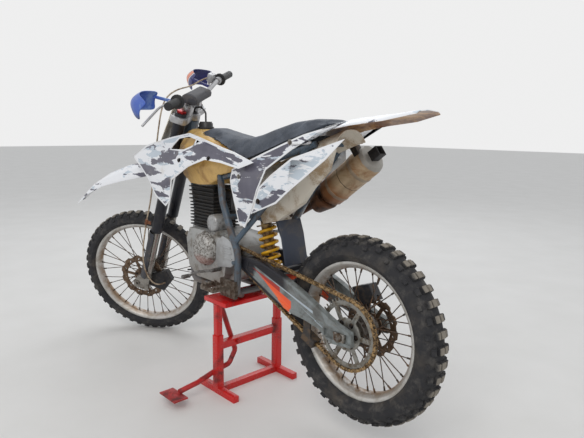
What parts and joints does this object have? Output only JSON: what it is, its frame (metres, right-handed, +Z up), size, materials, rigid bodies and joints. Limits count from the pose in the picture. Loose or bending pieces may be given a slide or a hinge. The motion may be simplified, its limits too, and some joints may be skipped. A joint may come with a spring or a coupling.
{
  "type": "dirt bike on a paddock stand",
  "caption": "Off-road motorcycle with knobby tyres, long seat and tank shrouds, nose down with its bars turned, held up under its frame by a lift stand with a foot lever.",
  "frame": {"origin": "floor under the stand's centre, in the bike's middle plane", "axes": "+X towards the bike's front, +Y to the rider's left, +Z up"},
  "size_m": [2.0401, 0.7158, 1.3764],
  "materials": {
    "frame_paint": "worn satin paint",
    "swingarm_metal": "brushed, dirty",
    "steel": "worn",
    "case_metal": "cast, mottled",
    "fin_metal": "black coat on cast fins",
    "dark_plastic": "matt",
    "pipe_steel": "heat stained",
    "muffler_metal": "dull and dirty",
    "chain_steel": "dirty",
    "tank_plastic": "aged translucent plastic",
    "hose_rubber": "matt",
    "hose_cover": "pale, dirty",
    "seat_cover": "textured vinyl cover",
    "body_plastic": "satin with dark pattern",
    "airbox_plastic": "aged",
    "flap_rubber": "matt",
    "shock_metal": "anodised, worn",
    "spring_paint": "gloss paint",
    "dark_metal": "dark coat",
    "stand_paint": "gloss paint, worn",
    "clamp_metal": "machined",
    "fork_coat": "hard black coat",
    "cap_anodised": "anodised",
    "slider_chrome": "hard chrome",
    "bar_metal": "satin",
    "pad_cover": "foam in a matt cover",
    "grip_rubber": "matt",
    "lever_metal": "cast, bare",
    "guard_plastic": "satin",
    "tyre_rubber": "dusty",
    "rim_metal": "anodised, dirty",
    "disc_steel": "worn, stained"
  },
  "bodies": {
    "chassis": {"frame": "frame_paint", "swingarm": "swingarm_metal", "chain_guide": "dark_plastic", "rear_axle": "steel", "engine_case": "case_metal", "engine_covers": "case_metal", "starter_motor": "case_metal", "cylinder": "fin_metal", "cylinder_head": "fin_metal", "carburettor": "dark_plastic", "exhaust_header": "pipe_steel", "muffler": "muffler_metal", "front_sprocket": "steel", "chain": "chain_steel", "fuel_tank": "tank_plastic", "fuel_cap": "dark_plastic", "vent_hose": "hose_rubber", "seat": "seat_cover", "shrouds": "body_plastic", "side_covers": "body_plastic", "number_panels": "body_plastic", "rear_fender": "body_plastic", "airbox": "airbox_plastic", "mudflap": "flap_rubber", "shock_body": "shock_metal", "shock_spring": "spring_paint", "footpegs": "steel", "shift_lever": "steel", "brake_pedal": "steel", "kick_lever": "steel", "rear_caliper": "dark_metal", "stand_base": "stand_paint", "stand_platform": "stand_paint", "stand_lever": "stand_paint"},
    "fork": {"lower_clamp": "dark_metal", "upper_clamp": "clamp_metal", "fork_tubes": "fork_coat", "fork_caps": "cap_anodised", "fork_sliders": "slider_chrome", "front_axle": "steel", "fork_guards": "dark_plastic", "front_fender": "body_plastic", "front_plate": "body_plastic", "handlebar": "bar_metal", "bar_pad": "pad_cover", "grips": "grip_rubber", "levers": "lever_metal", "handguards": "guard_plastic", "front_caliper": "dark_metal", "front_hose": "hose_cover"},
    "front_wheel": {"front_tyre": "tyre_rubber", "front_rim": "rim_metal", "front_disc": "disc_steel"},
    "rear_wheel": {"rear_tyre": "tyre_rubber", "rear_rim": "rim_metal", "rear_disc": "disc_steel", "rear_sprocket": "steel"}
  },
  "joints": [
    {"name": "steering", "type": "hinge", "parent": "chassis", "child": "fork", "pos_m": [0.75698, 0, 0.31778], "axis": [-0.3987, 0, 0.9171], "range_deg": [-76, 0]},
    {"name": "front_wheel_spin", "type": "hinge", "parent": "fork", "child": "front_wheel", "pos_m": [0.80034, 0.03694, 0.33663], "axis": [-0.5646, 0.788, -0.2455], "continuous": true},
    {"name": "rear_wheel_spin", "type": "hinge", "parent": "chassis", "child": "rear_wheel", "pos_m": [-0.613, 0, 0.408], "axis": [0, 1, 0], "continuous": true}
  ]
}
